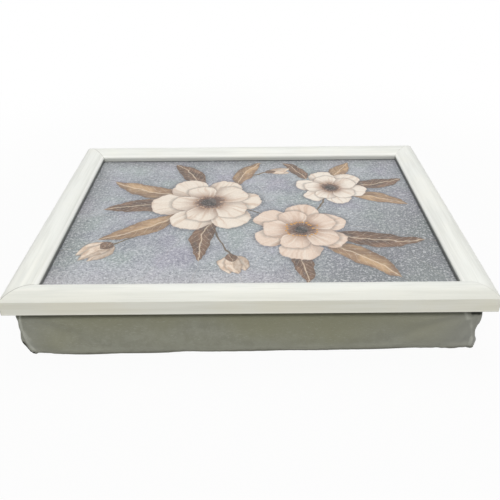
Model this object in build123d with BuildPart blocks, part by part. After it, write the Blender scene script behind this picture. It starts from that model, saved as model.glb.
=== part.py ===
from build123d import *

import os
from math import cos, pi, sin, sqrt

# A lap tray: a mitred wooden frame round a printed board, over a stapled bead-filled cushion.
# Millimetres. +X is the tray's length, +Y points away from the lap's owner and +Z is up.
# The origin is at the middle of the cushion's underside.

# Overall plan of the frame
tray_length = 440.0
tray_width = 340.0

# Rail moulding: a domed top over an upright outer face, and a rebate below for the board
rail_width = 27.0
rail_face_height = 14.6
rail_dome_rise = 5.9
rail_lip_drop = 0.8
rail_edge_round = 1.2
lip_thickness = 5.8
lip_relief = 1.0
rebate_width = 9.0

# Printed board
laminate_thickness = 0.8
board_thickness = 3.0
board_edge_clearance = 0.5

# V-shaped nails across each mitre, driven up from the underside
v_nail_height = 9.0
v_nail_thickness = 0.6
v_nail_leg = 3.6
v_nail_spread = 60.0
v_nail_inset_shares = (0.28, 0.61)
mitre_turn = 45.0

# Flat points that hold the board up in its rebate
point_length = 15.0
point_embedded = 7.0
point_width = 5.0
point_thickness = 0.5
points_per_long_rail = 3
points_per_short_rail = 2

# Cushion: its height under the frame and how its walls swell, draw in and roll under
cushion_height = 49.5
cushion_inset = 6.6
cushion_waist = 1.8
cushion_draw_in = 2.0
cushion_corner_radius = 9.0
base_roll_width = 5.0
base_roll_height = 8.0
hem_roll_width = 3.4
hem_roll_height = 7.0
rest_flat_depth = 0.5
base_seam_height = 4.0
outline_count = 13

# Cloth of the cushion, its turned-in hem and the lining that closes it under the board
cloth_thickness = 0.8
hem_width = 9.0
lining_thickness = 0.6
lining_edge_setback = 1.5
lining_slope_width = 24.0
lining_clearance = 0.3
filling_clearance = 0.3

# Staples through the hem and the lining into the rails
staple_crown = 10.0
staple_leg = 8.0
staple_wire_width = 1.0
staple_wire_thickness = 0.7
staple_end_distance = 22.0
staples_per_long_rail = 8
staples_per_short_rail = 6

# How far every cutting form runs past what it cuts
cut_overrun = 1.0

# Half sizes and levels that follow from the sizes above
half_length = tray_length / 2
half_width = tray_width / 2
underside_level = cushion_height
lip_bottom_height = rail_face_height - rail_lip_drop - lip_thickness
board_top_level = underside_level + lip_bottom_height
board_bottom_level = board_top_level - laminate_thickness - board_thickness
rebate_wall_inset = rail_width - rebate_width
board_inset = rebate_wall_inset + board_edge_clearance
crown_level = underside_level + rail_face_height + rail_dome_rise
hem_top_level = underside_level - lining_thickness
hem_bottom_level = hem_top_level - cloth_thickness
hem_outer_inset = cushion_inset + hem_roll_width
hem_inner_inset = hem_outer_inset + hem_width
staple_inset = (hem_outer_inset + rebate_wall_inset) / 2
v_nail_insets = [share * rebate_wall_inset for share in v_nail_inset_shares]
lining_crown = board_bottom_level - point_thickness - lining_clearance - underside_level

# Each side of the tray, turned about Z from the front one
side_turns = {"front": 0, "right": 90, "back": 180, "left": 270}
long_sides = ("front", "back")


def half_span(side):
    """Half of a side's length, along the side."""
    return half_length if side in long_sides else half_width


def half_depth(side):
    """From the tray's middle out to a side's outer face."""
    return half_width if side in long_sides else half_length


def side_plane(side, along, inset, level):
    """An upright plane square to the frame's edge, with X along the side and Y up."""
    turned = Plane(Location((0, 0, 0), (0, 0, side_turns[side])))
    along_way, inward = turned.x_dir, turned.y_dir
    place = along_way * along + inward * (inset - half_depth(side)) + turned.z_dir * level
    return Plane(origin=place, x_dir=along_way, z_dir=inward * -1)


def section_plane(side, level):
    """An upright plane across a side, with X running in from the frame's edge and Y up."""
    upright = side_plane(side, 0, 0, level)
    return Plane(origin=upright.origin, x_dir=upright.z_dir * -1, z_dir=upright.x_dir)


def staple_places(side):
    """Evenly spaced places of a side's staples, along the side from its middle."""
    count = staples_per_long_rail if side in long_sides else staples_per_short_rail
    pitch = 2 * (half_span(side) - staple_end_distance) / count
    return [pitch * (step - (count - 1) / 2) for step in range(count)]


def point_places(side):
    """Places of a side's points, each halfway between two staples."""
    count = points_per_long_rail if side in long_sides else points_per_short_rail
    places = staple_places(side)
    gaps = [(one + other) / 2 for one, other in zip(places, places[1:])]
    picked = [round((step + 1 / 2) * len(gaps) / count - 1 / 2) for step in range(count)]
    return [gaps[index] for index in picked]


def save(piece, name):
    """Label a finished piece and write it under its name."""
    piece.part.label = name
    export_step(piece.part, f"parts/{name}.step")


def mitre_wedge(side):
    """The upright prism between the two mitres at a side's ends."""
    reach = rail_width + cut_overrun
    depth = min(half_span(side), half_depth(side))
    tip = half_span(side) - depth
    with BuildPart() as wedge:
        with BuildSketch(Plane.XY.offset(-cut_overrun).rotated((0, 0, side_turns[side]))):
            with BuildLine():
                Polyline(
                    (-tip, depth - half_depth(side)),
                    (-half_span(side) - reach, -half_depth(side) - reach),
                    (half_span(side) + reach, -half_depth(side) - reach),
                    (tip, depth - half_depth(side)),
                    close=tip > 0,
                )
            make_face()
        extrude(amount=crown_level + 2 * cut_overrun)
    return wedge.part


def plan_prism(inset, bottom, top):
    """A rectangular prism that stands in from the frame's edge, between two levels."""
    with BuildPart() as prism:
        with BuildSketch(Plane.XY.offset(bottom)):
            Rectangle(tray_length - 2 * inset, tray_width - 2 * inset)
        extrude(amount=top - bottom)
    return prism.part


def cushion_outline(level, inset, draw_in, corner_radius):
    """A rounded rectangle on one level whose sides draw in between their corners."""
    x = half_length - inset
    y = half_width - inset
    with BuildSketch(Plane.XY.offset(level)) as outline:
        with BuildLine():
            ThreePointArc((-x, -y), (0, -y + draw_in), (x, -y))
            ThreePointArc((x, -y), (x - draw_in, 0), (x, y))
            ThreePointArc((x, y), (0, y - draw_in), (-x, y))
            ThreePointArc((-x, y), (-x + draw_in, 0), (-x, -y))
        make_face()
        fillet(outline.vertices(), corner_radius)
    return outline.sketch


def rolled(distance, width, height):
    """How far a quarter-round roll has drawn in at a distance from where it ends."""
    left = max(0, 1 - distance / height)
    return width * (1 - sqrt(1 - left**2))


def cushion_form(skin, bottom, top):
    """The swelling form of the bag, less a skin on its walls, cut flat where it rests."""
    start = bottom - rest_flat_depth
    with BuildPart() as form:
        for step in range(outline_count):
            share = (1 - cos(pi * step / (outline_count - 1))) / 2
            level = start + share * (top - start)
            inset = cushion_inset + cushion_waist * sin(pi * share) ** 2 + skin
            inset += rolled(level - start, base_roll_width, base_roll_height)
            inset += rolled(top - level, hem_roll_width, hem_roll_height)
            draw_in = cushion_draw_in * (1 + sin(pi * share)) / 2
            add(cushion_outline(level, inset, draw_in, cushion_corner_radius - skin))
        loft(ruled=True)
        split(bisect_by=Plane.XY.offset(bottom), keep=Keep.TOP)
    return form.part


def lining_crown_form(inset, bottom):
    """The low crown that the filling pushes up into the lining, on a given level."""
    top_inset = inset + lining_slope_width
    with BuildPart() as crown:
        with BuildSketch(Plane.XY.offset(bottom)):
            Rectangle(tray_length - 2 * inset, tray_width - 2 * inset)
        with BuildSketch(Plane.XY.offset(bottom + lining_crown)):
            Rectangle(tray_length - 2 * top_inset, tray_width - 2 * top_inset)
        loft(ruled=True)
    return crown.part


os.makedirs("parts", exist_ok=True)

# V-nails, two along each mitre, each with one leg in either rail
with BuildPart() as corner_v_nails:
    with BuildSketch(Plane.XY.offset(underside_level)):
        for side in side_turns:
            mitre_angle = side_turns[side] + mitre_turn
            for inset in v_nail_insets:
                corner = Vector(-half_span(side) + inset, -half_depth(side) + inset)
                corner = corner.rotate(Axis.Z, side_turns[side])
                for leg_turn in (-v_nail_spread, v_nail_spread):
                    with Locations(Location((corner.X, corner.Y, 0), (0, 0, mitre_angle + leg_turn))):
                        Rectangle(v_nail_leg, v_nail_thickness, align=(Align.MIN, Align.CENTER))
    extrude(amount=v_nail_height)
save(corner_v_nails, "corner_v_nails")

# Points, driven flat into the rebate's wall against the board's underside
with BuildPart() as board_points:
    point_inset = rebate_wall_inset - point_embedded
    with BuildSketch(
        *[
            side_plane(side, along, point_inset, board_bottom_level)
            for side in side_turns
            for along in point_places(side)
        ]
    ):
        Rectangle(point_width, point_thickness, align=(Align.CENTER, Align.MAX))
    extrude(amount=-point_length)
save(board_points, "board_points")

# Staples, their crowns under the hem and their legs up into the rails
with BuildPart() as hem_staples:
    with BuildSketch(
        *[
            side_plane(side, along, staple_inset, hem_bottom_level)
            for side in side_turns
            for along in staple_places(side)
        ]
    ):
        Rectangle(staple_crown, staple_wire_thickness, align=(Align.CENTER, Align.MAX))
        leg_offset = (staple_crown - staple_wire_thickness) / 2
        with Locations((-leg_offset, 0), (leg_offset, 0)):
            Rectangle(staple_wire_thickness, staple_leg, align=(Align.CENTER, Align.MIN))
    extrude(amount=staple_wire_width / 2, both=True)
save(hem_staples, "hem_staples")

# Frame rails, mitred at both ends, with slots for their nails, points and staples
for side in side_turns:
    with BuildPart() as rail:
        with BuildSketch(section_plane(side, underside_level)) as profile:
            with BuildLine():
                Polyline(
                    (0, rail_face_height),
                    (0, 0),
                    (rebate_wall_inset, 0),
                    (rebate_wall_inset, lip_bottom_height),
                    (rail_width, lip_bottom_height),
                    (rail_width, rail_face_height - rail_lip_drop),
                )
                ThreePointArc(
                    (rail_width, rail_face_height - rail_lip_drop),
                    (rail_width / 2, rail_face_height + rail_dome_rise),
                    (0, rail_face_height),
                )
            make_face()
            fillet(profile.vertices().sort_by_distance((0, 0))[0], rail_edge_round)
            lip_corner = (rail_width, lip_bottom_height)
            chamfer(profile.vertices().sort_by_distance(lip_corner)[0], lip_relief)
        extrude(amount=half_span(side), both=True)
        add(mitre_wedge(side), mode=Mode.INTERSECT)
        add(corner_v_nails.part, mode=Mode.SUBTRACT)
        add(board_points.part, mode=Mode.SUBTRACT)
        add(hem_staples.part, mode=Mode.SUBTRACT)
    save(rail, f"rail_{side}")

# Board and the printed laminate bonded to it, held up against the lips
with BuildPart() as tray_board:
    with BuildSketch(Plane.XY.offset(board_bottom_level)):
        Rectangle(tray_length - 2 * board_inset, tray_width - 2 * board_inset)
    extrude(amount=board_thickness)
save(tray_board, "tray_board")

with BuildPart() as printed_laminate:
    with BuildSketch(Plane.XY.offset(board_top_level)):
        Rectangle(tray_length - 2 * board_inset, tray_width - 2 * board_inset)
    extrude(amount=-laminate_thickness)
save(printed_laminate, "printed_laminate")

# Lining, flat between the hem and the rails and crowned over the filling
with BuildPart() as cushion_lining:
    add(plan_prism(hem_outer_inset + lining_edge_setback, hem_top_level, underside_level))
    add(lining_crown_form(hem_inner_inset, underside_level))
    add(lining_crown_form(hem_inner_inset, hem_top_level), mode=Mode.SUBTRACT)
    add(hem_staples.part, mode=Mode.SUBTRACT)
save(cushion_lining, "cushion_lining")

# The bag as one skin: the full form less its inside and less the opening within the hem
with BuildPart() as bag:
    add(cushion_form(0, 0, hem_top_level))
    add(cushion_form(cloth_thickness, cloth_thickness, hem_bottom_level), mode=Mode.SUBTRACT)
    add(plan_prism(hem_inner_inset, base_seam_height, underside_level), mode=Mode.SUBTRACT)

# Base of the bag, flat on the lap and turned up to its seam
with BuildPart() as cushion_base:
    add(bag.part)
    split(bisect_by=Plane.XY.offset(base_seam_height), keep=Keep.BOTTOM)
save(cushion_base, "cushion_base")

# Walls of the bag, sewn to each other at the corners, with their hems turned in under the rails
for side in side_turns:
    with BuildPart() as wall:
        add(bag.part)
        split(bisect_by=Plane.XY.offset(base_seam_height), keep=Keep.TOP)
        add(mitre_wedge(side), mode=Mode.INTERSECT)
        add(hem_staples.part, mode=Mode.SUBTRACT)
    save(wall, f"cushion_{side}")

# Beads, as the one mass that fills the bag and lifts the lining
with BuildPart() as bead_filling:
    filling_skin = cloth_thickness + filling_clearance
    filling_top = hem_top_level - filling_clearance
    neck_inset = hem_inner_inset + filling_clearance
    add(cushion_form(filling_skin, filling_skin, filling_top - cloth_thickness))
    add(plan_prism(neck_inset, filling_top - cloth_thickness, filling_top))
    add(lining_crown_form(neck_inset, filling_top))
    add(hem_staples.part, mode=Mode.SUBTRACT)
save(bead_filling, "bead_filling")
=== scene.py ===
import math

import bpy
import numpy as np
from mathutils import Matrix, Vector


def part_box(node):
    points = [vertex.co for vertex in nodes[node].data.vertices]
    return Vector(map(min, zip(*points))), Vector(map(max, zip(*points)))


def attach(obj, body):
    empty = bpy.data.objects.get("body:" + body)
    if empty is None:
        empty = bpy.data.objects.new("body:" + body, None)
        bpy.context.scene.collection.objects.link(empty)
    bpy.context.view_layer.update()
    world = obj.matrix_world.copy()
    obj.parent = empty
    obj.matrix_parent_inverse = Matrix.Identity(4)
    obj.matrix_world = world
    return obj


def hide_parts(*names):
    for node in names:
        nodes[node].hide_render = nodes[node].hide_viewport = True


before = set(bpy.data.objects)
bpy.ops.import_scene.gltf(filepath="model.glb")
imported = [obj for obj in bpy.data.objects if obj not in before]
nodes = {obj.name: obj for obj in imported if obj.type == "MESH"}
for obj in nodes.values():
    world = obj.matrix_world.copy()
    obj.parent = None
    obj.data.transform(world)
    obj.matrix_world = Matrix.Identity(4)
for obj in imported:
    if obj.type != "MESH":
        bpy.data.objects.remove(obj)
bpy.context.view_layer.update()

MM = 0.001

# Places read from the frame
half_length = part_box("rail_front")[1].x
half_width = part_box("rail_back")[1].y
rail_width = half_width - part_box("rail_back")[0].y
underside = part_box("rail_front")[0].z
board_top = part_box("printed_laminate")[1].z
lining_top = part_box("cushion_lining")[1].z
hem_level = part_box("cushion_front")[1].z
hem_inner_inset = half_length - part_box("cushion_right")[0].x


def rgb(red, green, blue):
    """A colour seen on a screen, from 0 to 255, as the linear one that the shaders take."""
    def linear(value):
        value /= 255
        return value / 12.92 if value <= 0.04045 else ((value + 0.055) / 1.055) ** 2.4
    return (linear(red), linear(green), linear(blue), 1.0)


class Steps:
    """The nodes of one tree, added and linked by short calls that return the new socket."""

    def __init__(self, tree):
        self.nodes = tree.nodes
        self.links = tree.links
        self.nodes.clear()

    def put(self, socket, value):
        """Link a socket, or set a plain value, on an input."""
        if isinstance(value, bpy.types.NodeSocket):
            self.links.new(value, socket)
        else:
            socket.default_value = value

    def add(self, kind, inputs=(), **settings):
        """A new node with these settings, its inputs given in their order or by their names."""
        node = self.nodes.new("ShaderNode" + kind)
        for name, value in settings.items():
            setattr(node, name, value)
        for name, value in inputs.items() if isinstance(inputs, dict) else enumerate(inputs):
            self.put(node.inputs[name], value)
        return node

    def math(self, operation, *values):
        return self.add("Math", values, operation=operation).outputs[0]

    def sum(self, *values):
        total = values[0]
        for value in values[1:]:
            total = self.math("ADD", total, value)
        return total

    def times(self, *values):
        total = values[0]
        for value in values[1:]:
            total = self.math("MULTIPLY", total, value)
        return total

    def minus(self, first, second):
        return self.math("SUBTRACT", first, second)

    def absolute(self, value):
        return self.math("ABSOLUTE", value)

    def vector(self, operation, *values):
        node = self.add("VectorMath", values, operation=operation)
        return node.outputs["Value" if operation == "LENGTH" else "Vector"]

    def split(self, vector):
        return self.add("SeparateXYZ", [vector]).outputs

    def join(self, *parts):
        return self.add("CombineXYZ", parts).outputs[0]

    def noise(self, vector, detail=2.0, roughness=0.5, output="Fac"):
        """Soft noise, as one number or, where the output is Color, as three at once."""
        inputs = {"Vector": vector, "Scale": 1.0, "Detail": detail, "Roughness": roughness}
        return self.add("TexNoise", inputs).outputs[output]

    def random(self, value):
        """A number from 0 to 1 that is the same wherever the value is the same."""
        return self.add("TexWhiteNoise", {"W": value}, noise_dimensions="1D").outputs["Value"]

    def ramp(self, value, low, high, to_low=0.0, to_high=1.0):
        """A smooth step from one value to another."""
        inputs = {"Value": value, "From Min": low, "From Max": high, "To Min": to_low, "To Max": to_high}
        return self.add("MapRange", inputs, interpolation_type="SMOOTHSTEP").outputs[0]

    def seen_from(self, vector, root, turn, size):
        """A place measured from a root, turned and counted in a size, as its parts along and across."""
        inputs = {"Vector": vector, "Location": root, "Rotation": turn, "Scale": size}
        along, across, _ = self.split(self.add("Mapping", inputs, vector_type="TEXTURE").outputs[0])
        return along, across

    def polar(self, dx, dy, count):
        """The distance out, the number of the sector, and how far across it, from -1 to 1."""
        out = self.math("SQRT", self.sum(self.times(dx, dx), self.times(dy, dy)))
        way = self.times(self.math("ARCTAN2", dy, dx), self.math("DIVIDE", count, 2 * math.pi))
        number = self.math("FLOORED_MODULO", self.math("FLOOR", way), count)
        return out, number, self.times(self.minus(self.math("FRACT", way), 0.5), 2.0)

    def attribute(self, name):
        return self.add("Attribute", attribute_name=name).outputs["Fac"]

    def mix(self, share, first, second):
        """One colour that turns into another, by input numbers, because several inputs share a name."""
        return self.add("Mix", {0: share, 6: first, 7: second}, data_type="RGBA").outputs[2]

    def tint(self, picture, colour, value, low, high, most):
        """Lay a colour over a picture, the further a value is from low to high."""
        return self.mix(self.ramp(value, low, high, 0.0, most), picture, colour)

    def bump(self, height, distance, before=None):
        inputs = {"Height": height, "Distance": distance}
        if before:
            inputs["Normal"] = before
        return self.add("Bump", inputs).outputs[0]

    def blend(self, share, first, second):
        """One shader that turns into another."""
        return self.add("MixShader", (share, first, second)).outputs[0]

    def is_seen(self):
        """1 for what the camera sees, also in a mirror or through glass, and 0 for what only lights."""
        path = self.add("LightPath").outputs
        mirrored = self.math("MAXIMUM", path["Is Glossy Ray"], path["Is Transmission Ray"])
        return self.math("MAXIMUM", path["Is Camera Ray"], mirrored)


class Graph(Steps):
    """One material, with the nodes that lead to its shader."""

    def __init__(self, name, roughness, sheen=0.0, specular=0.5, metallic=0.0):
        self.material = bpy.data.materials.new(name)
        self.material.use_nodes = True
        super().__init__(self.material.node_tree)
        self.shader = self.add("BsdfPrincipled", {"Roughness": roughness, "Sheen Weight": sheen,
                                                  "Specular IOR Level": specular, "Metallic": metallic})
        self.output = self.add("OutputMaterial", {"Surface": self.shader.outputs["BSDF"]})
        coordinates = self.add("TexCoord").outputs
        self.place = coordinates["Object"]
        self.facing = coordinates["Normal"]

    def spaced(self, x, y=None, z=None):
        """The object's own place, counted in steps of these lengths along its axes."""
        return self.vector("DIVIDE", self.place, (x, y or x, z or x))

    def stamp(self, mark, canvas, under, values):
        """Lay a mark of the print over what is already there."""
        # The canvas moves by a hair with the tone beneath it, so that the marks are worked out in turn
        hair = 1e-6
        moved = self.vector("MULTIPLY_ADD", under, (hair, hair, 0), canvas)
        return self.add("Group", (moved, under, *values), node_tree=mark).outputs[0]

    def finish(self, colour=None, roughness=None, normal=None):
        for name, value in (("Base Color", colour), ("Roughness", roughness), ("Normal", normal)):
            if value is not None:
                self.put(self.shader.inputs[name], value)
        return self.material


def from_edges(g):
    """How far a place is from the frame's nearest outer edge."""
    x, y, _ = g.split(g.place)
    return g.math("MINIMUM", g.minus(half_length, g.absolute(x)), g.minus(half_width, g.absolute(y)))


# Where the paint's marks, painted shade and highlights among them, fade in or out: from the outer edge,
# across the tray, above the table or from the line of a mitre
outer_face = (3 * MM, 2 * MM)
front_top_shade_span = (rail_width - half_width - 8 * MM, 4 * MM - half_width)
bottom_glow_band = (underside + 3.4 * MM, underside + 1.6 * MM)
inner_crest = rail_width - 1.6 * MM
crest_highlight_line = (1.1 * MM, 0.5 * MM)
joint_line = (0.15 * MM, 0.75 * MM)
joint_opening = (-250 * MM, 60 * MM)
inner_face = (rail_width - 0.6 * MM, rail_width - 0.25 * MM)
inner_foot = (board_top + 5.4 * MM, board_top + 3.0 * MM)


def weather_and_paint_light(g, white, yellowing_and_warm_cast):
    """Patchy yellowing over a painted warm cast on the outer faces, painted shade on the front rail's top, a
    painted glow on the lower edges and a painted highlight on the inner crest.
    """
    _, y, z = g.split(g.place)
    upward = g.absolute(g.split(g.facing)[2])
    # A painted warm cast on the upright outer faces, with patchy yellowing over it
    outside = g.times(g.ramp(upward, 0.5, 0.1), g.ramp(from_edges(g), *outer_face))
    white = g.mix(g.times(outside, yellowing_and_warm_cast), white, rgb(231, 228, 211))
    # Painted shade on the top of the front rail
    front_top_shade = g.times(g.ramp(y, *front_top_shade_span, 0.0, 0.4), g.ramp(upward, 0.1, 0.6))
    white = g.mix(front_top_shade, white, rgb(216, 216, 206))
    # A painted glow along the lower edges of the outer faces
    bottom_glow = g.times(outside, g.ramp(z, *bottom_glow_band, 0.0, 0.5))
    white = g.mix(bottom_glow, white, rgb(250, 250, 240))
    # A painted highlight along the inner crest of the rails
    from_crest = g.absolute(g.minus(from_edges(g), inner_crest))
    return g.tint(white, rgb(252, 252, 249), from_crest, *crest_highlight_line, 0.7)


def mitre_lines(g):
    """A fine line at each mitre. The front left one has opened most, and the two right ones least."""
    x, y, _ = g.split(g.place)
    apart = g.minus(g.absolute(x), g.absolute(y))
    apart = g.absolute(g.minus(apart, half_length - half_width))
    opening = g.ramp(g.sum(x, g.times(y, 0.6)), *joint_opening, 0.8, 0.22)
    return g.times(g.ramp(apart, *joint_line, 1.0, 0.0), opening)


def lip_painted_shade(g):
    """Painted shade where the inner faces meet the board, strongest where they face sideways, so on the left
    and right rails.
    """
    height = g.split(g.place)[2]
    sideways = g.absolute(g.split(g.facing)[0])
    return g.times(g.ramp(from_edges(g), *inner_face), g.ramp(height, *inner_foot),
                   g.ramp(sideways, 0.3, 0.8, 0.3, 0.9))


def paint_material(name, along_x):
    """White eggshell paint over a faint grain, with its yellowing, joints, and painted shade and highlights.
    """
    grain_run = 80 * MM
    pore_pitch = 0.9 * MM
    band_pitch = 4.5 * MM
    patch_size = 48 * MM
    pore_depth = 0.07 * MM
    g = Graph(name, roughness=0.5, specular=0.4)

    def grain(pitch):
        return g.spaced(grain_run, pitch, pitch) if along_x else g.spaced(pitch, grain_run, pitch)

    pores = g.noise(grain(pore_pitch), detail=3, roughness=0.6)
    bands = g.noise(grain(band_pitch), detail=2)
    patches = g.noise(g.spaced(patch_size), detail=2)
    white = g.mix(g.ramp(patches, 0.35, 0.65), rgb(238, 240, 236), rgb(240, 241, 235))
    white = g.tint(white, rgb(227, 229, 224), bands, 0.42, 0.72, 0.9)
    white = g.tint(white, rgb(212, 212, 204), pores, 0.55, 0.75, 0.5)
    white = weather_and_paint_light(g, white, g.ramp(g.sum(patches, g.times(bands, 0.4)), 0.5, 0.9, 0.3, 0.62))
    joints = mitre_lines(g)
    white = g.mix(joints, white, rgb(150, 150, 144))
    # Painted shade at the foot of the inner faces, strongest on the left and right rails
    white = g.mix(lip_painted_shade(g), white, rgb(92, 94, 91))
    height = g.minus(g.times(pores, 0.5), g.times(joints, 2.0))
    return g.finish(white, g.ramp(pores, 0.3, 0.8, 0.44, 0.6), g.bump(height, pore_depth))


# Where the cloth's painted shade and glow and its paler ends fade in or out: above the table, or along the
# tray from its middle
hem_shade = (hem_level - 10.5 * MM, hem_level - 4.5 * MM)
foot_glow = (12 * MM, 4 * MM)
foot_shade = (4.4 * MM, 2.2 * MM)
right_end = (60 * MM, 215 * MM)
both_ends = (165 * MM, 210 * MM)


def plain_weave(g, thread):
    """Crossing threads of one width that follow each face."""
    turn = math.pi / thread
    waves = [g.math("SINE", g.times(axis, turn)) for axis in g.split(g.place)]
    facing = [g.math("POWER", g.absolute(axis), 3.0) for axis in g.split(g.facing)]
    return g.sum(g.times(facing[0], waves[1], waves[2]), g.times(facing[1], waves[0], waves[2]),
                 g.times(facing[2], waves[0], waves[1]))


def shade_cloth(g, cloth):
    """Paint shade on the cloth under the rails and at its foot and a painted glow over its lowest part, and
    pale it towards its ends.
    """
    along, _, height = g.split(g.place)
    from_middle = g.absolute(along)
    upright = g.ramp(g.absolute(g.split(g.facing)[2]), 0.98, 0.8)
    cloth = g.tint(cloth, rgb(160, 161, 158), along, *right_end, 0.4)
    cloth = g.tint(cloth, rgb(152, 154, 154), from_middle, *both_ends, 0.35)
    # Painted shade under the rails, a painted glow over the lowest part, and painted shade at the very foot
    cloth = g.tint(cloth, rgb(84, 84, 70), height, *hem_shade, 0.85)
    cloth = g.tint(cloth, rgb(184, 185, 172), height, *foot_glow, 0.3)
    return g.mix(g.times(upright, g.ramp(height, *foot_shade, 0.0, 0.6)), cloth, rgb(88, 88, 78))


def fabric_material(name, light, dark, upper):
    """Plain woven polycotton with soft mottling, with the painted highlights and shade that the mesh's tone
    holds.
    """
    thread = 0.5 * MM
    thread_depth = 0.08 * MM
    slub_length = 3.5 * MM
    slub_width = 0.8 * MM
    slub_depth = 0.07 * MM
    mottle_size = 9 * MM
    patch_size = 70 * MM
    upper_per_metre = 12.0
    g = Graph(name, roughness=0.85, sheen=0.2, specular=0.2)
    weave = plain_weave(g, thread)
    slubs = g.noise(g.spaced(slub_length, slub_length, slub_width), detail=2)
    mottle = g.noise(g.spaced(mottle_size), detail=4, roughness=0.7)
    patches = g.noise(g.spaced(patch_size), detail=1)
    height = g.split(g.place)[2]
    cloth = g.mix(g.ramp(mottle, 0.34, 0.66), dark, light)
    cloth = g.mix(g.ramp(g.sum(g.times(height, upper_per_metre), patches), 0.55, 1.05), cloth, upper)
    cloth = g.mix(g.ramp(weave, -0.8, 0.8, 0.12, 0.0), cloth, (0, 0, 0, 1))
    cloth = g.tint(cloth, (1, 1, 1, 1), slubs, 0.55, 0.8, 0.1)
    cloth = shade_cloth(g, cloth)
    # The tone paints highlights on raised seams and folds, and shade in grooves, folds and the turned corners
    tone = g.attribute("tone")
    cloth = g.tint(cloth, rgb(198, 200, 192), tone, 0.1, 1.0, 0.55)
    cloth = g.tint(cloth, rgb(46, 46, 40), tone, -0.1, -1.0, 0.9)
    relief = g.bump(slubs, slub_depth, g.bump(weave, thread_depth))
    return g.finish(cloth, g.ramp(slubs, 0.2, 0.8, 0.8, 0.92), relief)


def metal_material(name):
    """Zinc-bright wire with fine drawing marks."""
    mark_width = 0.3 * MM
    mark_length = 4 * MM
    g = Graph(name, roughness=0.35, metallic=1.0)
    marks = g.noise(g.spaced(mark_width, mark_width, mark_length), detail=2)
    colour = g.mix(marks, rgb(168, 168, 165), rgb(202, 202, 198))
    return g.finish(colour, g.ramp(marks, 0.2, 0.8, 0.28, 0.45))


def hardboard_material(name):
    """Smooth brown hardboard with pressed fibres."""
    fibre_length = 3 * MM
    fibre_width = 1.2 * MM
    fibre_height = 1 * MM
    fibre_depth = 0.05 * MM
    g = Graph(name, roughness=0.7)
    fibres = g.noise(g.spaced(fibre_length, fibre_width, fibre_height), detail=4, roughness=0.65)
    colour = g.mix(g.ramp(fibres, 0.3, 0.7), rgb(96, 68, 45), rgb(132, 98, 68))
    return g.finish(colour, None, g.bump(fibres, fibre_depth))


def mark_group(name, paint, **looks):
    """A node group that lays one kind of mark over a picture; paint says how."""
    tree = bpy.data.node_groups.new(name, "ShaderNodeTree")
    placed = dict.fromkeys(("root", "turn", "size"), "Vector")
    kinds = {"canvas": "Vector", "under": "Color", **placed, **looks}
    for title, kind in kinds.items():
        tree.interface.new_socket(title, in_out="INPUT", socket_type="NodeSocket" + kind)
    tree.interface.new_socket("picture", in_out="OUTPUT", socket_type="NodeSocketColor")
    g = Steps(tree)
    given = g.nodes.new("NodeGroupInput").outputs
    picture = paint(g, *[given[title] for title in kinds])
    g.links.new(picture, g.nodes.new("NodeGroupOutput").inputs[0])
    return tree


def paint_leaf(g, canvas, under, root, turn, size, fullness, bend, dark, light):
    """A dry leaf with its rib, side veins, darker rim and the faint shadow that it throws."""
    along, across = g.seen_from(canvas, root, turn, size)
    swell = g.math("MAXIMUM", g.times(along, g.minus(1.0, along), 4.0), 0.0)
    across = g.minus(across, g.times(swell, bend))
    taper = g.minus(1.0, g.times(along, 0.35))
    side = g.absolute(across)
    beyond = g.minus(side, g.times(g.math("POWER", swell, 0.8), fullness, taper))
    shade = g.times(g.ramp(beyond, 0.07, 0.0), g.ramp(swell, 0.0, 0.25), 0.35)
    under = g.mix(shade, under, rgb(84, 88, 92))
    rib = g.ramp(side, 0.004, 0.013, 1.0, 0.0)
    vein = g.math("FRACT", g.minus(g.times(along, 9.0), g.times(side, 13.0)))
    vein = g.ramp(vein, 0.02, 0.16, 0.5, 0.0)
    blotch = g.noise(g.join(g.times(along, 5.0), g.times(across, 9.0), g.times(bend, 90.0)), detail=2)
    blade = g.mix(g.ramp(blotch, 0.32, 0.68), dark, light)
    blade = g.tint(blade, rgb(70, 58, 50), across, -0.02, 0.03, 0.28)
    blade = g.mix(g.times(g.math("MAXIMUM", rib, vein), 0.6), blade, rgb(236, 218, 194))
    blade = g.tint(blade, rgb(104, 80, 62), beyond, -0.05, 0.0, 0.45)
    return g.mix(g.ramp(beyond, -0.004, 0.004, 1.0, 0.0), under, blade)


def paint_stem(g, canvas, under, root, turn, size, bend, thickness, tone):
    """A thin bending stem."""
    along, across = g.seen_from(canvas, root, turn, size)
    swell = g.times(along, g.minus(1.0, along), 4.0)
    side = g.absolute(g.minus(across, g.times(swell, bend)))
    line = g.ramp(g.math("DIVIDE", side, thickness), 0.6, 1.3, 1.0, 0.0)
    return g.mix(g.times(line, g.ramp(swell, 0.0, 0.06)), under, tone)


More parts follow.
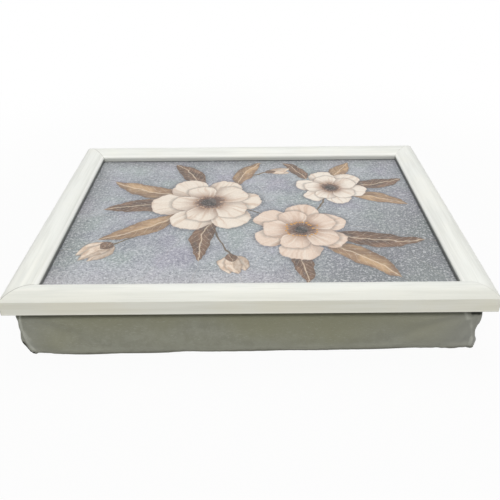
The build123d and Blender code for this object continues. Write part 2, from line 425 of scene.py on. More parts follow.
def paint_petals(g, canvas, under, root, turn, size, count, seed, base, tip):
    """One ring of overlapping ruffled petals round a bloom's middle."""
    out, number, across = g.polar(*g.seen_from(canvas, root, turn, size), count)
    luck = g.random(g.sum(number, seed))
    spread = g.math("POWER", g.absolute(across), 2.6)
    streaks = g.noise(g.join(g.times(across, 6.0), g.times(out, 1.1), g.sum(number, seed)), detail=2)
    rim = g.minus(g.sum(g.times(luck, 0.16), 0.9), g.times(spread, 0.3))
    beyond = g.minus(out, g.sum(rim, g.times(streaks, 0.07)))
    under = g.tint(under, rgb(78, 76, 76), beyond, 0.14, 0.0, 0.42)
    petal = g.mix(g.ramp(out, 0.2, 0.8), base, tip)
    petal = g.tint(petal, rgb(196, 160, 132), streaks, 0.5, 0.72, 0.45)
    petal = g.tint(petal, rgb(246, 238, 226), streaks, 0.46, 0.3, 0.4)
    petal = g.tint(petal, rgb(138, 112, 98), across, 0.35, 1.0, 0.5)
    petal = g.tint(petal, rgb(248, 242, 232), across, -0.7, -1.0, 0.3)
    petal = g.tint(petal, rgb(122, 92, 76), out, 0.36, 0.12, 0.6)
    petal = g.tint(petal, rgb(206, 176, 160), beyond, -0.05, 0.0, 0.35)
    return g.mix(g.ramp(beyond, -0.006, 0.006, 1.0, 0.0), under, petal)


def paint_middle(g, canvas, under, root, turn, size, count, seed, dots):
    """A bloom's dark middle with its ring of stamens."""
    dx, dy = g.seen_from(canvas, root, turn, size)
    out, number, across = g.polar(dx, dy, count)
    across = g.times(across, out, g.math("DIVIDE", math.pi, count))
    ring = g.sum(0.22, g.times(g.random(g.sum(number, seed)), 0.1))
    apart = g.minus(out, ring)
    under = g.tint(under, rgb(86, 66, 58), out, 0.36, 0.16, 0.75)
    thread = g.ramp(g.absolute(across), 0.003, 0.008, 0.8, 0.0)
    under = g.mix(g.times(thread, g.ramp(apart, 0.004, -0.004)), under, rgb(58, 48, 46))
    dot = g.math("SQRT", g.sum(g.times(across, across), g.times(apart, apart)))
    under = g.mix(g.ramp(dot, 0.017, 0.025, 1.0, 0.0), under, dots)
    seeds = g.noise(g.join(g.times(dx, 40.0), g.times(dy, 40.0), seed), detail=1)
    heart = g.mix(g.ramp(seeds, 0.4, 0.7), rgb(40, 36, 36), rgb(98, 88, 82))
    heart = g.tint(heart, rgb(140, 132, 126), g.sum(dy, dx), 0.0, 0.16, 0.35)
    return g.mix(g.ramp(out, 0.135, 0.155, 1.0, 0.0), under, heart)


# The print's spray, in millimetres on the board and degrees. Leaves and bud petals: root, heading,
# length, fullness, bend and two colours. Stems: root, heading, length, bend and colour. Blooms: middle,
# size, seed, colour of the petals' tips and colour of the stamens. A bloom's rings of petals: heading,
# share of its size, count, more seed and colour of the petals' feet
tan = (rgb(150, 122, 98), rgb(198, 166, 130))
brown = (rgb(92, 74, 64), rgb(138, 110, 90))
cream = (rgb(206, 180, 158), rgb(236, 220, 204))
leaves = [
    (-70, 44, 158, 104, 0.17, 0.08, *tan),
    (-74, 20, 186, 92, 0.2, -0.06, *brown),
    (-78, 0, 214, 96, 0.17, 0.07, *tan),
    (-38, -14, 262, 84, 0.17, -0.08, *brown),
    (-60, 66, 118, 76, 0.2, -0.07, *brown),
    (-14, 72, 66, 70, 0.2, 0.08, *tan),
    (76, -66, 318, 92, 0.18, 0.08, *tan),
    (86, -44, 350, 96, 0.17, -0.07, *brown),
    (44, -74, 282, 62, 0.2, 0.06, *brown),
    (118, 44, 338, 70, 0.2, 0.07, *tan),
    (122, 68, 14, 68, 0.2, -0.07, *brown),
    (104, 84, 62, 56, 0.22, 0.06, *tan),
    (70, 86, 118, 54, 0.2, -0.08, *brown),
]
buds = [
    (-142, -62, 240, 38, 0.3, 0.1, *cream),
    (-142, -62, 214, 40, 0.3, -0.08, *cream),
    (-142, -62, 227, 42, 0.26, 0.0, *cream),
    (-142, -60, 228, 16, 0.5, 0.0, *brown),
    (-20, -86, 300, 32, 0.32, 0.1, *cream),
    (-20, -86, 274, 33, 0.32, -0.08, *cream),
    (-20, -86, 287, 35, 0.28, 0.0, *cream),
    (-20, -84, 287, 14, 0.5, 0.0, *brown),
    (22, 108, 352, 30, 0.32, 0.1, *cream),
    (22, 108, 18, 31, 0.32, -0.08, *cream),
    (20, 108, 5, 13, 0.5, 0.0, *brown),
]
stems = [
    (-46, 30, 224, 136, 0.06, rgb(112, 96, 74)),
    (-40, 20, 282, 108, -0.08, rgb(104, 92, 76)),
    (-36, 40, 50, 90, 0.1, rgb(120, 102, 80)),
    (-40, 26, 328, 110, 0.05, rgb(104, 92, 76)),
    (52, -30, 64, 96, -0.07, rgb(112, 96, 74)),
]
blooms = [
    (-46, 26, 62, 3.5, rgb(238, 226, 212), rgb(190, 160, 136)),
    (56, -36, 55, 17.5, rgb(232, 212, 196), rgb(206, 150, 66)),
    (98, 62, 42, 31.5, rgb(242, 232, 220), rgb(190, 160, 136)),
]
petal_rings = [
    (0, 1.0, 6.0, 0, rgb(176, 142, 118)),
    (40, 0.72, 5.0, 9, rgb(164, 128, 106)),
]


def paint_spray(g, canvas, picture):
    """The whole design, from its stems up to its blooms."""
    leaf_mark = mark_group("leaf", paint_leaf, fullness="Float", bend="Float", dark="Color", light="Color")
    stem_mark = mark_group("stem", paint_stem, bend="Float", thickness="Float", tone="Color")
    petal_mark = mark_group("petals", paint_petals, count="Float", seed="Float", base="Color", tip="Color")
    middle_mark = mark_group("middle", paint_middle, count="Float", seed="Float", dots="Color")
    stem_thickness = 1.1
    stamens = 26.0

    def placing(x, y, heading, size):
        return (x * MM, y * MM, 0), (0, 0, math.radians(heading)), (size * MM, size * MM, 1)

    for x, y, heading, length, bend, tone in stems:
        picture = g.stamp(stem_mark, canvas, picture,
                          (*placing(x, y, heading, length), bend, stem_thickness / length, tone))
    for x, y, heading, length, *look in leaves + buds:
        picture = g.stamp(leaf_mark, canvas, picture, (*placing(x, y, heading, length), *look))
    for x, y, size, seed, tip, dots in blooms:
        for turn, share, petals, more, base in petal_rings:
            place = placing(x, y, turn + 10 * seed, size * share)
            picture = g.stamp(petal_mark, canvas, picture, (*place, petals, seed + more, base, tip))
        picture = g.stamp(middle_mark, canvas, picture, (*placing(x, y, 0, size), stamens, seed, dots))
    return picture


# Where the print's shades fade in or out: from the back and left lips, across the tray, along it, or, for the
# painted shadow line at the lips, from the frame's outer edge
lip_shade = (32 * MM, 0.0)
front_glow = (-100 * MM, -140 * MM)
front_glow_end = (120 * MM, 0.0)
right_shade = (50 * MM, 220 * MM)
lip_shadow_line = (rail_width + 0.1 * MM, rail_width + 0.9 * MM)


def print_ground(g, specks, flecks):
    """The clouded and speckled ground, darker at the back, left and right, and paler in front."""
    cloud_size = 34 * MM
    tint_size = 52 * MM
    x, y, _ = g.split(g.place)
    clouds = g.noise(g.spaced(cloud_size), detail=4, roughness=0.6)
    tints = g.noise(g.spaced(tint_size), detail=3)
    ground = g.mix(g.ramp(clouds, 0.32, 0.68), rgb(147, 152, 160), rgb(176, 181, 187))
    ground = g.tint(ground, rgb(166, 160, 180), tints, 0.5, 0.68, 0.5)
    ground = g.tint(ground, rgb(156, 170, 166), tints, 0.5, 0.34, 0.55)
    from_lips = g.math("MINIMUM", g.sum(half_length - rail_width, x), g.minus(half_width - rail_width, y))
    ground = g.tint(ground, rgb(104, 102, 100), from_lips, *lip_shade, 0.42)
    in_front = g.times(g.ramp(y, *front_glow), g.ramp(x, *front_glow_end, 0.0, 0.45))
    ground = g.mix(in_front, ground, rgb(206, 202, 206))
    at_right = g.ramp(g.minus(x, g.times(y, 0.7)), *right_shade, 0.0, 0.6)
    ground = g.mix(at_right, ground, rgb(106, 108, 108))
    ground = g.tint(ground, rgb(212, 214, 218), flecks, 0.5, 0.7, 0.4)
    ground = g.tint(ground, rgb(104, 110, 116), flecks, 0.5, 0.3, 0.4)
    ground = g.tint(ground, rgb(214, 216, 224), specks, 0.52, 0.7, 0.4)
    return g.tint(ground, rgb(88, 93, 103), specks, 0.48, 0.3, 0.42)


def print_material(name):
    """Matt printed melamine: pale blooms and dry leaves on a speckled blue-grey ground, with a painted shadow
    line along the lips.
    """
    speck_size = 1.7 * MM
    speck_depth = 0.02 * MM
    fleck_size = 3.4 * MM
    brush_size = 17 * MM
    brush_reach = 9 * MM
    g = Graph(name, roughness=0.42)
    specks = g.noise(g.spaced(speck_size), detail=2, roughness=0.8)
    flecks = g.noise(g.spaced(fleck_size), detail=2, roughness=0.6)
    brush = g.vector("SUBTRACT", g.noise(g.spaced(brush_size), output="Color"), (0.5, 0.5, 0.5))
    canvas = g.vector("ADD", g.place, g.vector("MULTIPLY", brush, (brush_reach, brush_reach, 0)))
    canvas = g.vector("MULTIPLY", canvas, (1, 1, 0))
    picture = paint_spray(g, canvas, print_ground(g, specks, flecks))
    picture = g.mix(g.ramp(specks, 0.3, 0.7, 0.1, 0.0), picture, rgb(60, 60, 62))
    picture = g.tint(picture, rgb(236, 236, 236), flecks, 0.5, 0.8, 0.2)
    # A painted shadow line where the print meets the lips
    picture = g.mix(g.ramp(from_edges(g), *lip_shadow_line, 0.5, 0.0), picture, rgb(60, 62, 62))
    return g.finish(picture, g.ramp(specks, 0.2, 0.8, 0.38, 0.48), g.bump(specks, speck_depth))


# Looks of the pieces that come from the frame as they are
long_paint = paint_material("white_paint_long", True)
short_paint = paint_material("white_paint_short", False)
steel = metal_material("zinc_steel")
bag_cloth = fabric_material("bag_cloth", rgb(158, 159, 147), rgb(148, 149, 136), rgb(150, 150, 128))
lining_cloth = fabric_material("lining_cloth", rgb(70, 70, 68), rgb(58, 58, 56), rgb(64, 64, 58))
finishes = {
    "rail_front": long_paint,
    "rail_back": long_paint,
    "rail_left": short_paint,
    "rail_right": short_paint,
    "printed_laminate": print_material("printed_melamine"),
    "tray_board": hardboard_material("hardboard"),
    "corner_v_nails": steel,
    "board_points": steel,
    "hem_staples": steel,
}
for node, material in finishes.items():
    nodes[node].material_slots[0].material = material


def add_object(name, data):
    thing = bpy.data.objects.new(name, data)
    bpy.context.scene.collection.objects.link(thing)
    return thing


def add_piece(name, points, faces, material):
    mesh = bpy.data.meshes.new(name)
    mesh.from_pydata([tuple(point) for point in points], [], faces)
    mesh.materials.append(material)
    mesh.shade_smooth()
    return add_object(name, mesh)


def read_points(mesh):
    flat = np.empty(len(mesh.vertices) * 3)
    mesh.vertices.foreach_get("co", flat)
    return flat.reshape(-1, 3)


def write_points(mesh, points):
    mesh.vertices.foreach_set("co", points.ravel())
    mesh.update()


def smooth_step(values, low, high):
    share = np.clip((values - low) / (high - low), 0, 1)
    return share * share * (3 - 2 * share)


# The bag's columns run round it from the middle of the front left corner, anticlockwise from above
long_steps = 80
short_steps = 60
corner_steps = 8
closer_at_corners = 0.7
columns_long = long_steps + corner_steps
columns_short = short_steps + corner_steps
front_right = columns_long
back_right = front_right + columns_short
back_left = back_right + columns_long
columns = back_left + columns_short


def plan_side(straight, front, steps, draw_in, radius):
    """One side of the bag's plan, seen as its front: half a corner, the side and half the next corner."""
    def on_corner(end, angle):
        return end * (straight + radius * math.sin(angle)), front + radius * (1 - math.cos(angle))

    half_arc = corner_steps // 2
    half_turn = math.radians(45)
    places = [on_corner(-1, half_turn * (1 - step / half_arc)) for step in range(half_arc)]
    for step in range(steps + 1):
        even = 2 * step / steps - 1
        share = even + closer_at_corners * 0.5 * (even - even ** 3)
        places.append((straight * share, front + draw_in * (1 - share ** 2)))
    return places + [on_corner(1, half_turn * step / half_arc) for step in range(1, half_arc)]


def plan_ring(inset, draw_in, radius):
    """The bag's plan on one level: sides that draw in between rounded corners."""
    points = []
    for side in range(4):
        turn = side * math.pi / 2
        is_long = side % 2 == 0
        span, depth = (half_length, half_width) if is_long else (half_width, half_length)
        steps = long_steps if is_long else short_steps
        for x, y in plan_side(span - inset - radius, inset - depth, steps, draw_in, radius):
            points.append((x * math.cos(turn) - y * math.sin(turn), x * math.sin(turn) + y * math.cos(turn)))
    return np.array(points)


def cap_grid(ring):
    """A grid of points that fills a ring, row by row from the front, its own edge included."""
    front = ring[:front_right + 1]
    right = ring[front_right:back_right + 1]
    back = ring[back_right:back_left + 1][::-1]
    left = np.vstack([ring[back_left:], ring[:1]])[::-1]
    across = np.linspace(0, 1, columns_long + 1)[None, :, None]
    deep = np.linspace(0, 1, columns_short + 1)[:, None, None]
    sides = ((1 - deep) * front[None] + deep * back[None]
             + (1 - across) * left[:, None] + across * right[:, None])
    corners = ((1 - across) * (1 - deep) * front[0] + across * (1 - deep) * front[-1]
               + (1 - across) * deep * back[0] + across * deep * back[-1])
    return sides - corners


# The bag's top lies flat under the rails and then rises to a crown under the board
crown_run = 24 * MM
lining_clearance = 0.6 * MM


def insets(points):
    """How far points lie inside the frame's nearest outer edge."""
    return np.minimum(half_length - np.abs(points[..., 0]), half_width - np.abs(points[..., 1]))


def crown_level(points, edge_level, crown):
    """Height of the bag's top, from the level at its edge to its crown."""
    return edge_level + crown * smooth_step(insets(points), hem_inner_inset, hem_inner_inset + crown_run)


# Levels of the bag's filled wall, in millimetres: height, inset, draw-in between corners and corner
# radius. The cloth turns in under the rails towards the staples that hold it
bag_levels = [
    (0.0, 9.0, 0.3, 4.0),
    (0.7, 7.2, 0.4, 4.5),
    (2.4, 6.2, 0.5, 5.0),
    (5.0, 5.8, 0.6, 5.5),
    (9.0, 5.8, 0.8, 6.0),
    (15.0, 6.3, 1.1, 6.0),
    (21.0, 7.1, 1.4, 6.0),
    (27.0, 7.6, 1.5, 6.0),
    (33.0, 7.4, 1.3, 6.0),
    (38.0, 7.2, 1.0, 6.0),
    (41.0, 8.0, 0.8, 5.5),
    (43.2, 9.6, 0.7, 5.0),
    (45.4, 11.6, 0.6, 4.5),
    (47.4, 13.6, 0.5, 4.0),
    (48.5, 15.5, 0.5, 4.0),
]
rows_between = 2
# How much further in the wall starts, before the beads press it out
start_slack = 2.4 * MM


def smooth_rows(rows, between):
    """Rows of a smooth curve through the given ones."""
    rows = np.array(rows)
    padded = np.vstack([2 * rows[0] - rows[1], rows, 2 * rows[-1] - rows[-2]])
    result = []
    for before, first, last, after in zip(padded, padded[1:], padded[2:], padded[3:]):
        for share in np.arange(between) / between:
            result.append(first + 0.5 * share * (
                last - before + share * (2 * before - 5 * first + 4 * last - after
                                         + share * (3 * (first - last) + after - before))))
    return np.array(result + [rows[-1]])


wall_levels = smooth_rows(bag_levels, rows_between)
wall_rows = len(wall_levels)
# The row of the base seam, and how many rows are held at the top, where the cloth turns in
seam_row = 2 * rows_between
tucked_rows = 4 * rows_between


def wall_faces():
    """Faces between neighbouring rows of the wall, all the way round."""
    faces = []
    for row in range(wall_rows - 1):
        for column in range(columns):
            following = (column + 1) % columns
            faces.append((row * columns + column, row * columns + following,
                          (row + 1) * columns + following, (row + 1) * columns + column))
    return faces


def cap_edge(first):
    """The numbers of a cap's points, given round its edge, which is the wall's row that starts at first."""
    index = np.full((columns_short + 1, columns_long + 1), -1)
    for k in range(columns_long + 1):
        index[0, k] = first + k
        index[columns_short, k] = first + (back_left - k) % columns
    for k in range(columns_short + 1):
        index[k, columns_long] = first + front_right + k
        index[k, 0] = first + (columns - k) % columns
    return index


def add_cap(points, faces, row, ring, upward):
    """Close the bag at one row of its wall: crowned at its top and flat at its base."""
    grid = cap_grid(ring[:, :2])
    crown = lining_top - underside - lining_clearance if upward else 0.0
    levels = crown_level(grid, wall_levels[row, 0] * MM, crown)
    index = cap_edge(row * columns)
    for j in range(1, columns_short):
        for i in range(1, columns_long):
            index[j, i] = len(points)
            points.append(np.array([grid[j, i, 0], grid[j, i, 1], levels[j, i]]))
    for j in range(columns_short):
        for i in range(columns_long):
            face = (index[j, i], index[j, i + 1], index[j + 1, i + 1], index[j + 1, i])
            faces.append(face if upward else face[::-1])


def bag_form(slack):
    """Points and faces of the closed bag, its wall set in by some slack."""
    rings = []
    for level, inset, draw_in, radius in wall_levels:
        plan = plan_ring(inset * MM + slack, draw_in * MM, radius * MM)
        rings.append(np.column_stack([plan, np.full(columns, level * MM)]))
    points = list(np.vstack(rings))
    faces = wall_faces()
    add_cap(points, faces, 0, rings[0], upward=False)
    add_cap(points, faces, wall_rows - 1, rings[-1], upward=True)
    return np.array(points), [tuple(int(v) for v in face) for face in faces]


def swell(piece, held, shrinking, most):
    """Blow a closed piece up as cloth, with its held points fixed, and keep the result."""
    last_frame = 20
    start = read_points(piece.data)
    piece.vertex_groups.new(name="held").add([int(v) for v in held], 1.0, "REPLACE")
    piece.vertex_groups.new(name="seams").add([int(v) for v in shrinking], 1.0, "REPLACE")
    cloth = piece.modifiers.new("cloth", "CLOTH")
    settings = cloth.settings
    settings.quality = 6
    settings.mass = 0.3
    settings.tension_stiffness = 30
    settings.compression_stiffness = 30
    settings.shear_stiffness = 12
    settings.bending_stiffness = 0.3
    settings.use_pressure = True
    settings.uniform_pressure_force = 4
    settings.vertex_group_mass = "held"
    settings.vertex_group_shrink = "seams"
    settings.shrink_min = 0.0
    settings.shrink_max = 0.03
    settings.effector_weights.gravity = 0
    cloth.point_cache.frame_start = 1
    cloth.point_cache.frame_end = last_frame
    for number in range(1, last_frame + 1):
        bpy.context.scene.frame_set(number)
    shown = piece.evaluated_get(bpy.context.evaluated_depsgraph_get())
    move = read_points(shown.data) - start
    piece.modifiers.remove(cloth)
    piece.vertex_groups.clear()
    bpy.context.scene.frame_set(1)
    reach = np.linalg.norm(move, axis=1, keepdims=True)
    write_points(piece.data, start + move * np.minimum(1, most / np.maximum(reach, 1e-9)))


def subdivide(piece):
    """Add one subdivision to a piece and keep the result."""
    piece.modifiers.new("subdivision", "SUBSURF").levels = 1
    shown = piece.evaluated_get(bpy.context.evaluated_depsgraph_get())
    mesh = bpy.data.meshes.new_from_object(shown)
    piece.modifiers.clear()
    old, piece.data = piece.data, mesh
    mesh.name = piece.name
    bpy.data.meshes.remove(old)


def along_wall_mean(rows, reach):
    """The running mean of the wall's rows, taken round the bag over this many columns each way."""
    steps = range(-reach, reach + 1)
    weights = [math.exp(-0.5 * (2 * step / reach) ** 2) for step in steps]
    total = sum(weight * np.roll(rows, step, axis=1) for step, weight in zip(steps, weights))
    return total / sum(weights)


# Where the filled bag is pulled out of its even shape, in millimetres: place, reach along each axis and
# move. The front left corner tucks in at its foot, and the right side stands further in there
pulls = [
    ((-214, -160, -2), (24, 36, 20), (11.4, 1, 1.2)),
    ((-214, -160, 27), (14, 24, 9), (-0.9, 0, 0)),
    ((-212, -162, 45), (14, 20, 9), (-3.2, 0, 0)),
    ((216, -160, 19), (50, 110, 16), (-3.2, 0, 0)),
    ((216, -160, 0), (50, 110, 10), (-3.2, 0, 0)),
    ((212, -166, 46), (20, 16, 7), (0.5, 7, -3)),
    ((214, -160, 38), (14, 24, 8), (-0.6, 0, 0)),
    ((214, -162, 45), (14, 20, 8), (1.6, 0, 0)),
    ((200, -163, 0), (22, 20, 9), (0, -0.6, 0)),
    ((214, -160, 26), (14, 24, 6), (1.2, 0, 0)),
    ((-190, -166, 0), (12, 20, 8), (0, 1.6, 0.9)),
    ((-158, -168, 0), (22, 20, 9), (0, -0.8, 0)),
    ((-60, -166, 0), (20, 20, 9), (0, 0.7, 0.3)),
    ((60, -166, 0), (26, 20, 9), (0, -0.6, 0)),
    ((140, -166, 0), (24, 20, 9), (0, 0.6, 0.3)),
    ((214, 160, -2), (16, 30, 13), (-7, -2, 2)),
    ((-214, 162, 2), (18, 40, 20), (2.5, -1, 0)),
    ((-214, 30, 6), (30, 60, 16), (-1.2, 0, 0)),
    ((214, 60, 8), (30, 70, 18), (1.2, 0, 0)),
    ((-60, 166, 6), (80, 30, 16), (0, 1.2, 0)),
    ((120, 166, 8), (60, 30, 16), (0, -1.4, 0)),
]
# The bag's lower edge runs a little askew of the frame: forward at its left end
forward_middle = 1.8 * MM
forward_slope = 0.0145
lean_heights = (3 * MM, 38 * MM)
lean_depths = (60 * MM, 150 * MM)

# Corner seams, folds and shaded edges: width, height, tone (painted shade below 0, painted highlight above
# it) and a path of x and z, in millimetres
folds = [
    (1.0, 0.8, 1.0, [(-208.2, 46), (-207.9, 41), (-208.5, 34), (-208.7, 27.4), (-207.5, 22), (-205.5, 16.5),
                     (-203.4, 11.8), (-200.3, 6.5)]),
    (1.1, 0.0, -1.4, [(-209.3, 14.8), (-207.6, 12.6), (-206, 10.2), (-203.8, 6.8), (-201.6, 3)]),
    (1.2, 0.5, 0.5, [(-206.5, 24.5), (-204.5, 20.6), (-202.5, 18.6)]),
    (3.8, 0.0, 0.5, [(-202.5, 15), (-197, 6)]),
    (1.0, -0.2, -1.4, [(201, 41.8), (204, 41.5), (207, 41.3), (213, 40.6)]),
    (1.2, 0.0, -0.5, [(200.8, 40.2), (202, 39)]),
    (2.0, 0.4, 0.7, [(195, 43), (196.5, 39.5), (198, 36)]),
    (1.8, 0.2, 0.4, [(201.5, 30), (203.5, 26)]),
    (1.0, 0.4, 0.35, [(199, 45), (201, 36), (203, 28.5), (205, 20), (206, 14), (205.7, 8), (206.5, 2)]),
    (1.6, 0.5, 1.0, [(205.9, 13), (205.6, 9), (205.2, 5)]),
    (1.0, 0.0, -0.4, [(208.3, 14), (208, 9), (206.6, 3)]),
]


def from_path(x, z, path):
    """Distances of points on a wall from a path drawn on it."""
    path = np.array(path) * MM
    nearest = np.full(len(x), np.inf)
    for (x0, z0), (x1, z1) in zip(path, path[1:]):
        dx, dz = x1 - x0, z1 - z0
        share = np.clip(((x - x0) * dx + (z - z0) * dz) / (dx * dx + dz * dz), 0, 1)
        nearest = np.minimum(nearest, np.hypot(x - x0 - share * dx, z - z0 - share * dz))
    return nearest


def wander(values, pitch, seed):
    """A smooth wave of uneven pitch, from -1 to 1."""
    waves = [math.sin(seed) + 2.0, math.cos(seed) + 3.4, math.sin(2 * seed) + 5.1]
    most = 1.83
    return sum(np.sin(values / pitch * wave + seed * wave) / (1 + k) for k, wave in enumerate(waves)) / most


def pull_shape(points):
    """Give the even bag the photographed one's outline."""
    low = 1 - smooth_step(points[:, 2], *lean_heights)
    front = smooth_step(-points[:, 1], *lean_depths)
    points[:, 1] -= (forward_middle - forward_slope * points[:, 0]) * low * front
    for place, reach, move in pulls:
        apart = (points - np.array(place) * MM) / (np.array(reach) * MM)
        share = np.clip(1 - (apart ** 2).sum(axis=1), 0, 1) ** 2
        points += share[:, None] * np.array(move) * MM
    return points


def fold_marks(points, normals):
    """How far the folds raise each point, and its tone of painted highlight and shade."""
    x, y, z = points.T
    rise = np.zeros(len(points))
    tone = np.zeros(len(points))
    # The folds lie on the front wall, with like ones on the back wall and faint ones on the short walls, at
    # the same distance from the wall's end. Walls: place along, how far the points face outward, how much
    # shorter, the least that they have to face outward, and strength
    shorter = half_length - half_width
    walls = [(x, -normals[:, 1], 0.0, 0.15, 1.0), (-x, normals[:, 1], 0.0, 0.15, 1.0),
             (y, normals[:, 0], shorter, 0.8, 0.25), (-y, -normals[:, 0], shorter, 0.8, 0.25)]
    for along, outward, missing, least, strength in walls:
        along = along + np.sign(along) * missing
        for width, height, shade, path in folds:
            share = strength * (outward > least) * np.exp(-(from_path(along, z, path) / (width * MM)) ** 2)
            rise += share * height * MM
            tone += share * shade
    return rise, tone


# The shaded turn of the front left corner and of the one across from it
turn_start = (195 * MM, 140 * MM)
turn_middle = (14 * MM, 19 * MM, 34 * MM, 38 * MM)
turn_depth = 0.55


def turned_shade(points, normals):
    """How dark the cloth is where those corners turn away, least at half its height."""
    x, y, z = points.T
    middle = smooth_step(z, *turn_middle[:2]) * (1 - smooth_step(z, *turn_middle[2:]))
    shade = np.zeros(len(points))
    for side in (1, -1):
        near = (side * x < -turn_start[0]) & (side * y < -turn_start[1])
        left = smooth_step(-side * normals[:, 0], 0.35, 0.8)
        front = smooth_step(-side * normals[:, 1], 0.2, 0.45)
        shade += turn_depth * near * (1 - 0.8 * middle) * left * front
    return shade


# The base seam's groove and puckers, the gathers below the hem and the slow folds over the whole wall
seam_level = 4 * MM
seam_sway = 0.5 * MM
sway_pitch = 40 * MM
groove_depth = 0.45 * MM
groove_width = 0.9 * MM
pucker_height = 0.3 * MM
pucker_pitch = 4.5 * MM
pucker_width = 4.5 * MM
gather_height = 0.35 * MM
gather_pitch = 9 * MM
gather_levels = (24 * MM, 42 * MM)
hem_levels = (43 * MM, 47 * MM)
foot_levels = (0.2 * MM, 1.5 * MM)
slow_height = 0.5 * MM
slow_pitches = (30 * MM, 14 * MM)


def seam_rise(points, normals):
    """How far the base seam, its puckers, the gathers and the slow folds raise each point."""
    x, y, z = points.T
    around = np.where(np.abs(normals[:, 0]) > np.abs(normals[:, 1]), y, x)
    from_seam = z - seam_level - seam_sway * wander(around, sway_pitch, 1.3)
    groove = groove_depth * np.exp(-(from_seam / groove_width) ** 2)
    beside_seam = np.exp(-(from_seam / pucker_width) ** 2)
    puckers = pucker_height * wander(around, pucker_pitch, 2.1) * beside_seam
    gathers = gather_height * wander(around, gather_pitch, 0.7) * smooth_step(z, *gather_levels)
    below_hem = 1 - smooth_step(z, *hem_levels)
    slow = slow_height * wander(around, slow_pitches[0], 4.2) * wander(z + 0.2 * around, slow_pitches[1], 3.3)
    on_wall = (np.abs(normals[:, 2]) < 0.8) * smooth_step(z, *foot_levels)
    return on_wall * (puckers - groove + below_hem * gathers + slow)


def sew(piece):
    """Raise the seams and folds on the cover, and keep each point's tone of painted highlight and shade for
    its material.
    """
    rise_highlight_shade = 0.3
    points = read_points(piece.data)
    normals = np.empty(points.size)
    piece.data.vertex_normals.foreach_get("vector", normals)
    normals = normals.reshape(-1, 3)
    rise, tone = fold_marks(points, normals)
    rise += seam_rise(points, normals)
    # Raised points get a painted highlight, sunk ones painted shade, and the turned corners painted shade
    tone += rise_highlight_shade * rise / MM - turned_shade(points, normals)
    points += normals * rise[:, None]
    points[:, 2] = np.maximum(points[:, 2], 0)
    write_points(piece.data, points)
    piece.data.attributes.new("tone", "FLOAT", "POINT").data.foreach_set("value", np.clip(tone, -1, 1))


def held_and_sewn(points):
    """Which points the simulation keeps in place, and which lie on the seams that it tightens."""
    loose_margin = 16 * MM
    row, column = np.divmod(np.arange(len(points)), columns)
    is_wall = row < wall_rows
    is_top = points[:, 2] > underside / 2
    held = np.where(is_wall, row >= wall_rows - tucked_rows, is_top | (insets(points) > loose_margin))
    on_seam = np.isin(column, [0, front_right, back_right, back_left]) | (row == seam_row)
    return np.flatnonzero(held), np.flatnonzero(is_wall & on_seam & ~held)


def make_cover():
    """The cushion's cover: sewn, swollen by its beads and hemmed under the rails."""
    most_swelling = 6 * MM
    mean_reach = 14
    filled, faces = bag_form(0.0)
    start, _ = bag_form(start_slack)
    piece = add_piece("cushion_cover", start, faces, bag_cloth)
    swell(piece, *held_and_sewn(start), most_swelling)
    crease = read_points(piece.data) - start
    wall = crease[:wall_rows * columns].reshape(wall_rows, columns, 3)
    wall -= along_wall_mean(wall, mean_reach)
    write_points(piece.data, pull_shape(filled + crease))
    subdivide(piece)
    sew(piece)
    piece.data.shade_smooth()
    return piece


cover = make_cover()
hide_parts("cushion_front", "cushion_back", "cushion_left", "cushion_right", "cushion_base",
            "bead_filling")
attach(cover, "root")


def sheet_faces(across, deep):
    """Faces of two like grids, the second one below the first, and of the rim between them."""
    width = across + 1
    count = width * (deep + 1)
    faces = []
    for j in range(deep):
        for i in range(across):
            corner = j * width + i
            face = (corner, corner + 1, corner + 1 + width, corner + width)
            faces.append(face)
            faces.append(tuple(count + k for k in face[::-1]))
    rim = list(range(across)) + [across + j * width for j in range(deep)]
    rim += [deep * width + across - k for k in range(across)] + [(deep - j) * width for j in range(deep)]
    for first, last in zip(rim, rim[1:] + rim[:1]):
        faces.append((last, first, count + first, count + last))
    return faces


def make_lining():
    """The cloth that closes the bag: flat where it is stapled, raised under the board by the beads."""
    margin = 11.5 * MM
    thickness = 0.4 * MM
    clearance = 0.1 * MM
    dent_depth = 0.25 * MM
    dent_pitches = (11 * MM, 13 * MM)
    across = 84
    deep = 64
    xs = (half_length - margin) * np.linspace(-1, 1, across + 1)
    ys = (half_width - margin) * np.linspace(-1, 1, deep + 1)
    grid = np.stack(np.meshgrid(xs, ys), axis=-1).reshape(-1, 2)
    top = crown_level(grid, underside - clearance, lining_top - underside - clearance)
    dents = wander(grid[:, 0], dent_pitches[0], 1.7) * wander(grid[:, 1], dent_pitches[1], 2.9)
    top -= dent_depth * smooth_step(top, underside, lining_top) * (1 + dents) / 2
    points = [(*place, level - lower) for lower in (0, thickness) for place, level in zip(grid, top)]
    return add_piece("lining_cloth", points, sheet_faces(across, deep), lining_cloth)


lining = make_lining()
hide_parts("cushion_lining")
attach(lining, "root")


# Camera, where the photograph was taken from
camera_place = (3.4 * MM, -572.7 * MM, 374.7 * MM)
camera_yaw = -0.0054849
camera_pitch = 0.5692713
camera_roll = -0.0113489
focal_pixels = 581.49
picture_pixels = 500
sensor_width = 36


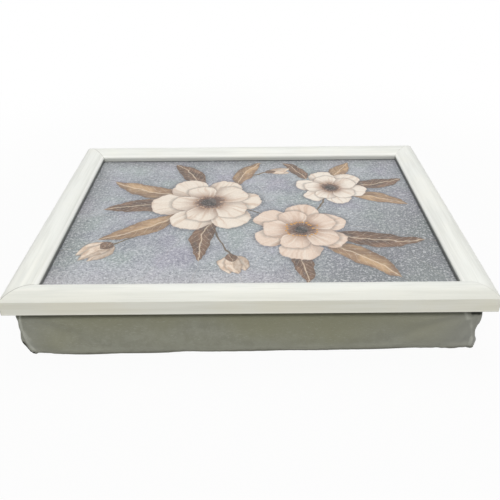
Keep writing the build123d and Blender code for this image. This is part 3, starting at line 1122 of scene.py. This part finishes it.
def add_camera():
    forward = Vector((math.sin(camera_yaw) * math.cos(camera_pitch),
                      math.cos(camera_yaw) * math.cos(camera_pitch), -math.sin(camera_pitch)))
    level = Vector((math.cos(camera_yaw), -math.sin(camera_yaw), 0))
    upward = level.cross(forward)
    right = math.cos(camera_roll) * level + math.sin(camera_roll) * upward
    up = math.cos(camera_roll) * upward - math.sin(camera_roll) * level
    data = bpy.data.cameras.new("camera")
    data.sensor_width = sensor_width
    data.lens = focal_pixels / picture_pixels * sensor_width
    data.clip_start = 0.01
    camera = add_object("camera", data)
    turn = Matrix((right, up, -forward)).transposed().to_4x4()
    camera.matrix_world = Matrix.Translation(camera_place) @ turn
    bpy.context.scene.camera = camera


def add_lamp(name, place, size, power, colour):
    """A rectangular soft lamp that points at the object."""
    data = bpy.data.lights.new(name, "AREA")
    data.shape = "RECTANGLE"
    data.size, data.size_y = size
    data.energy = power
    data.color = colour
    lamp = add_object(name, data)
    lamp.location = place
    lamp.rotation_euler = (-Vector(place)).to_track_quat("-Z", "Y").to_euler()


def add_floor():
    """A white floor that keeps a faint shadow and joins the white background."""
    reach = 12.0
    drop = 0.1 * MM
    shadow_end = (0.3, 0.8)
    g = Graph("floor", roughness=0.9, specular=0.1)
    g.finish(rgb(200, 200, 198))
    shown = g.times(g.is_seen(), g.ramp(g.vector("LENGTH", g.place), *shadow_end, 0.95, 1.0))
    glow = g.add("Emission").outputs[0]
    g.put(g.output.inputs["Surface"], g.blend(shown, g.shader.outputs["BSDF"], glow))
    corners = [(-reach, -reach, 0), (reach, -reach, 0), (reach, reach, 0), (-reach, reach, 0)]
    floor = add_piece("floor", corners, [(0, 1, 2, 3)], g.material)
    floor.location.z = -drop


def add_world(strength):
    """Plain white surroundings, seen at full white by the camera and in reflections."""
    world = bpy.data.worlds.new("studio")
    world.use_nodes = True
    g = Steps(world.node_tree)

    def white(level):
        return g.add("Background", {"Color": (1, 1, 1, 1), "Strength": level}).outputs[0]

    g.add("OutputWorld", {"Surface": g.blend(g.is_seen(), white(strength), white(1.0))})
    bpy.context.scene.world = world


# Lamps: name, place, size, power in watts and colour
lamps = [
    ("overhead_lamp", (0.05, 0.5, 1.6), (0.8, 1.0), 10.4, (1.0, 1.0, 1.0)),
    ("front_lamp", (0, -1.08, 1.28), (1.0, 0.35), 10.5, (1.0, 0.98, 0.92)),
]
surroundings = 0.38

add_camera()
add_floor()
add_world(surroundings)
for lamp in lamps:
    add_lamp(*lamp)

bpy.context.scene.view_settings.view_transform = "Standard"
